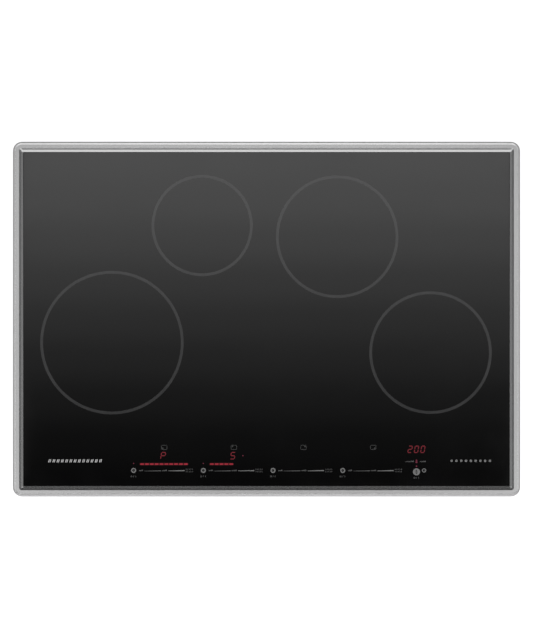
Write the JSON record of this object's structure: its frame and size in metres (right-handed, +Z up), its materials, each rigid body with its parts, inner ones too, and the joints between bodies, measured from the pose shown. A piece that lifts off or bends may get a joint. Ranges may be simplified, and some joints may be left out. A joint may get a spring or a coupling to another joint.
{
  "type": "built-in induction cooktop",
  "caption": "Built-in induction cooktop: black ceramic glass with round zones and touch sliders in a stainless surround, over a vented steel pan with coils, fans and worktop clamps.",
  "frame": {"origin": "centre of the worktop cut-out, on the worktop's upper surface, where the surround's seal rests", "axes": "+X to the cook's right along the long side, +Y to the back, +Z up out of the glass"},
  "size_m": [0.762, 0.533, 0.0584],
  "materials": {
    "stainless": "fine brushed stainless steel",
    "ring_steel": "bare stainless sheet",
    "black_glass": "polished black ceramic glass, opaque from above",
    "silicone": "matt black silicone",
    "seal_foam": "closed-cell sealing strip",
    "galvanised": "galvanised steel sheet with a fine spangle",
    "black_nylon": "black glass-filled nylon",
    "white_nylon": "natural nylon",
    "terminal_plastic": "cream moulded terminal block",
    "circuit_board": "green solder mask on glass-fibre board",
    "black_epoxy": "moulded transistor packages",
    "capacitor_case": "ochre film and can capacitors",
    "choke_winding": "enamelled copper wire on a ring core",
    "sink_aluminium": "extruded bare aluminium",
    "tray_aluminium": "mill-finish aluminium sheet",
    "coil_moulding": "heat-resistant dark moulding",
    "litz_copper": "flat spiral of enamelled copper litz wire",
    "ferrite": "sintered ferrite bars",
    "spring_steel": "plated spring wire",
    "mica": "pressed mica sheet",
    "sensor_ceramic": "ceramic-capped temperature sensor",
    "motor_plastic": "moulded motor core",
    "touch_foam": "conductive foam touch pads",
    "display_case": "display modules with dark windows",
    "lamp_bar": "red light-bar modules",
    "ribbon": "grey flat cable",
    "zinc": "bright zinc-plated steel"
  },
  "bodies": {
    "root": {"trim_frame": "stainless", "support_ring": "ring_steel", "ceramic_glass": "black_glass", "glass_bond": "silicone", "worktop_seal": "seal_foam", "base_pan": "galvanised", "terminal_cover": "galvanised", "cable_inlet_bush": "black_nylon", "terminal_block": "terminal_plastic", "filter_board": "circuit_board", "filter_chokes": "choke_winding", "power_board_left": "circuit_board", "power_board_right": "circuit_board", "heat_sink_left": "sink_aluminium", "heat_sink_right": "sink_aluminium", "power_transistors": "black_epoxy", "board_capacitors": "capacitor_case", "fan_housing_left": "black_nylon", "fan_housing_right": "black_nylon", "fan_motors": "motor_plastic", "coil_tray_left": "tray_aluminium", "coil_tray_right": "tray_aluminium", "standoffs": "white_nylon", "control_carrier": "coil_moulding", "touch_board": "circuit_board", "touch_pads": "touch_foam", "display_modules": "display_case", "led_bars": "lamp_bar", "ribbon_cable": "ribbon", "temperature_sensors": "sensor_ceramic", "mica_discs": "mica", "case_screws": "zinc", "clamp_guides": "zinc", "coil_springs": "spring_steel"},
    "fan_rotor_left": {"fan_rotor_left": "black_nylon"},
    "fan_rotor_right": {"fan_rotor_right": "black_nylon"},
    "coil_front_left": {"coil_carrier_front_left": "coil_moulding", "coil_winding_front_left": "litz_copper", "coil_ferrites_front_left": "ferrite"},
    "coil_rear_left": {"coil_carrier_rear_left": "coil_moulding", "coil_winding_rear_left": "litz_copper", "coil_ferrites_rear_left": "ferrite"},
    "coil_front_right": {"coil_carrier_front_right": "coil_moulding", "coil_winding_front_right": "litz_copper", "coil_ferrites_front_right": "ferrite"},
    "coil_rear_right": {"coil_carrier_rear_right": "coil_moulding", "coil_winding_rear_right": "litz_copper", "coil_ferrites_rear_right": "ferrite"},
    "clamp_screw_front_left": {"clamp_screw_front_left": "zinc"},
    "clamp_nut_front_left": {"clamp_nut_front_left": "zinc"},
    "clamp_claw_front_left": {"clamp_claw_front_left": "zinc"},
    "clamp_screw_rear_left": {"clamp_screw_rear_left": "zinc"},
    "clamp_nut_rear_left": {"clamp_nut_rear_left": "zinc"},
    "clamp_claw_rear_left": {"clamp_claw_rear_left": "zinc"},
    "clamp_screw_front_right": {"clamp_screw_front_right": "zinc"},
    "clamp_nut_front_right": {"clamp_nut_front_right": "zinc"},
    "clamp_claw_front_right": {"clamp_claw_front_right": "zinc"},
    "clamp_screw_rear_right": {"clamp_screw_rear_right": "zinc"},
    "clamp_nut_rear_right": {"clamp_nut_rear_right": "zinc"},
    "clamp_claw_rear_right": {"clamp_claw_rear_right": "zinc"}
  },
  "joints": [
    {"name": "fan_spin_left", "type": "hinge", "parent": "root", "child": "fan_rotor_left", "pos_m": [-0.262, 0.16, -0.03], "axis": [0, 0, 1], "continuous": true},
    {"name": "fan_spin_right", "type": "hinge", "parent": "root", "child": "fan_rotor_right", "pos_m": [0.262, 0.16, -0.03], "axis": [0, 0, 1], "continuous": true},
    {"name": "coil_travel_front_left", "type": "slide", "parent": "root", "child": "coil_front_left", "axis": [0, 0, 1], "range_m": [-0.003, 0], "stiffness_N_per_m": 2400, "springref_m": 0.011, "deforming": ["coil_springs"]},
    {"name": "coil_travel_rear_left", "type": "slide", "parent": "root", "child": "coil_rear_left", "axis": [0, 0, 1], "range_m": [-0.003, 0], "stiffness_N_per_m": 2400, "springref_m": 0.011, "deforming": ["coil_springs"]},
    {"name": "coil_travel_front_right", "type": "slide", "parent": "root", "child": "coil_front_right", "axis": [0, 0, 1], "range_m": [-0.003, 0], "stiffness_N_per_m": 2400, "springref_m": 0.011, "deforming": ["coil_springs"]},
    {"name": "coil_travel_rear_right", "type": "slide", "parent": "root", "child": "coil_rear_right", "axis": [0, 0, 1], "range_m": [-0.003, 0], "stiffness_N_per_m": 2400, "springref_m": 0.011, "deforming": ["coil_springs"]},
    {"name": "clamp_turn_front_left", "type": "hinge", "parent": "root", "child": "clamp_screw_front_left", "pos_m": [-0.354, -0.12, -0.04], "axis": [0, 0, 1], "range_deg": [0, 9360]},
    {"name": "clamp_lift_front_left", "type": "slide", "parent": "root", "child": "clamp_nut_front_left", "axis": [0, 0, 1], "range_m": [0, 0.026]},
    {"name": "clamp_swing_front_left", "type": "hinge", "parent": "clamp_nut_front_left", "child": "clamp_claw_front_left", "pos_m": [-0.354, -0.12, -0.036], "axis": [0, 0, -1], "range_deg": [0, 90]},
    {"name": "clamp_turn_rear_left", "type": "hinge", "parent": "root", "child": "clamp_screw_rear_left", "pos_m": [-0.354, 0.12, -0.04], "axis": [0, 0, 1], "range_deg": [0, 9360]},
    {"name": "clamp_lift_rear_left", "type": "slide", "parent": "root", "child": "clamp_nut_rear_left", "axis": [0, 0, 1], "range_m": [0, 0.026]},
    {"name": "clamp_swing_rear_left", "type": "hinge", "parent": "clamp_nut_rear_left", "child": "clamp_claw_rear_left", "pos_m": [-0.354, 0.12, -0.036], "axis": [0, 0, -1], "range_deg": [0, 90]},
    {"name": "clamp_turn_front_right", "type": "hinge", "parent": "root", "child": "clamp_screw_front_right", "pos_m": [0.354, -0.12, -0.04], "axis": [0, 0, 1], "range_deg": [0, 9360]},
    {"name": "clamp_lift_front_right", "type": "slide", "parent": "root", "child": "clamp_nut_front_right", "axis": [0, 0, 1], "range_m": [0, 0.026]},
    {"name": "clamp_swing_front_right", "type": "hinge", "parent": "clamp_nut_front_right", "child": "clamp_claw_front_right", "pos_m": [0.354, -0.12, -0.036], "axis": [0, 0, -1], "range_deg": [0, 90]},
    {"name": "clamp_turn_rear_right", "type": "hinge", "parent": "root", "child": "clamp_screw_rear_right", "pos_m": [0.354, 0.12, -0.04], "axis": [0, 0, 1], "range_deg": [0, 9360]},
    {"name": "clamp_lift_rear_right", "type": "slide", "parent": "root", "child": "clamp_nut_rear_right", "axis": [0, 0, 1], "range_m": [0, 0.026]},
    {"name": "clamp_swing_rear_right", "type": "hinge", "parent": "clamp_nut_rear_right", "child": "clamp_claw_rear_right", "pos_m": [0.354, 0.12, -0.036], "axis": [0, 0, -1], "range_deg": [0, 90]}
  ],
  "couplings": [
    {"joint": "clamp_turn_front_left", "follows": "clamp_lift_front_left", "rad_per_m": 6283.2},
    {"joint": "clamp_turn_rear_left", "follows": "clamp_lift_rear_left", "rad_per_m": 6283.2},
    {"joint": "clamp_turn_front_right", "follows": "clamp_lift_front_right", "rad_per_m": 6283.2},
    {"joint": "clamp_turn_rear_right", "follows": "clamp_lift_rear_right", "rad_per_m": 6283.2}
  ]
}
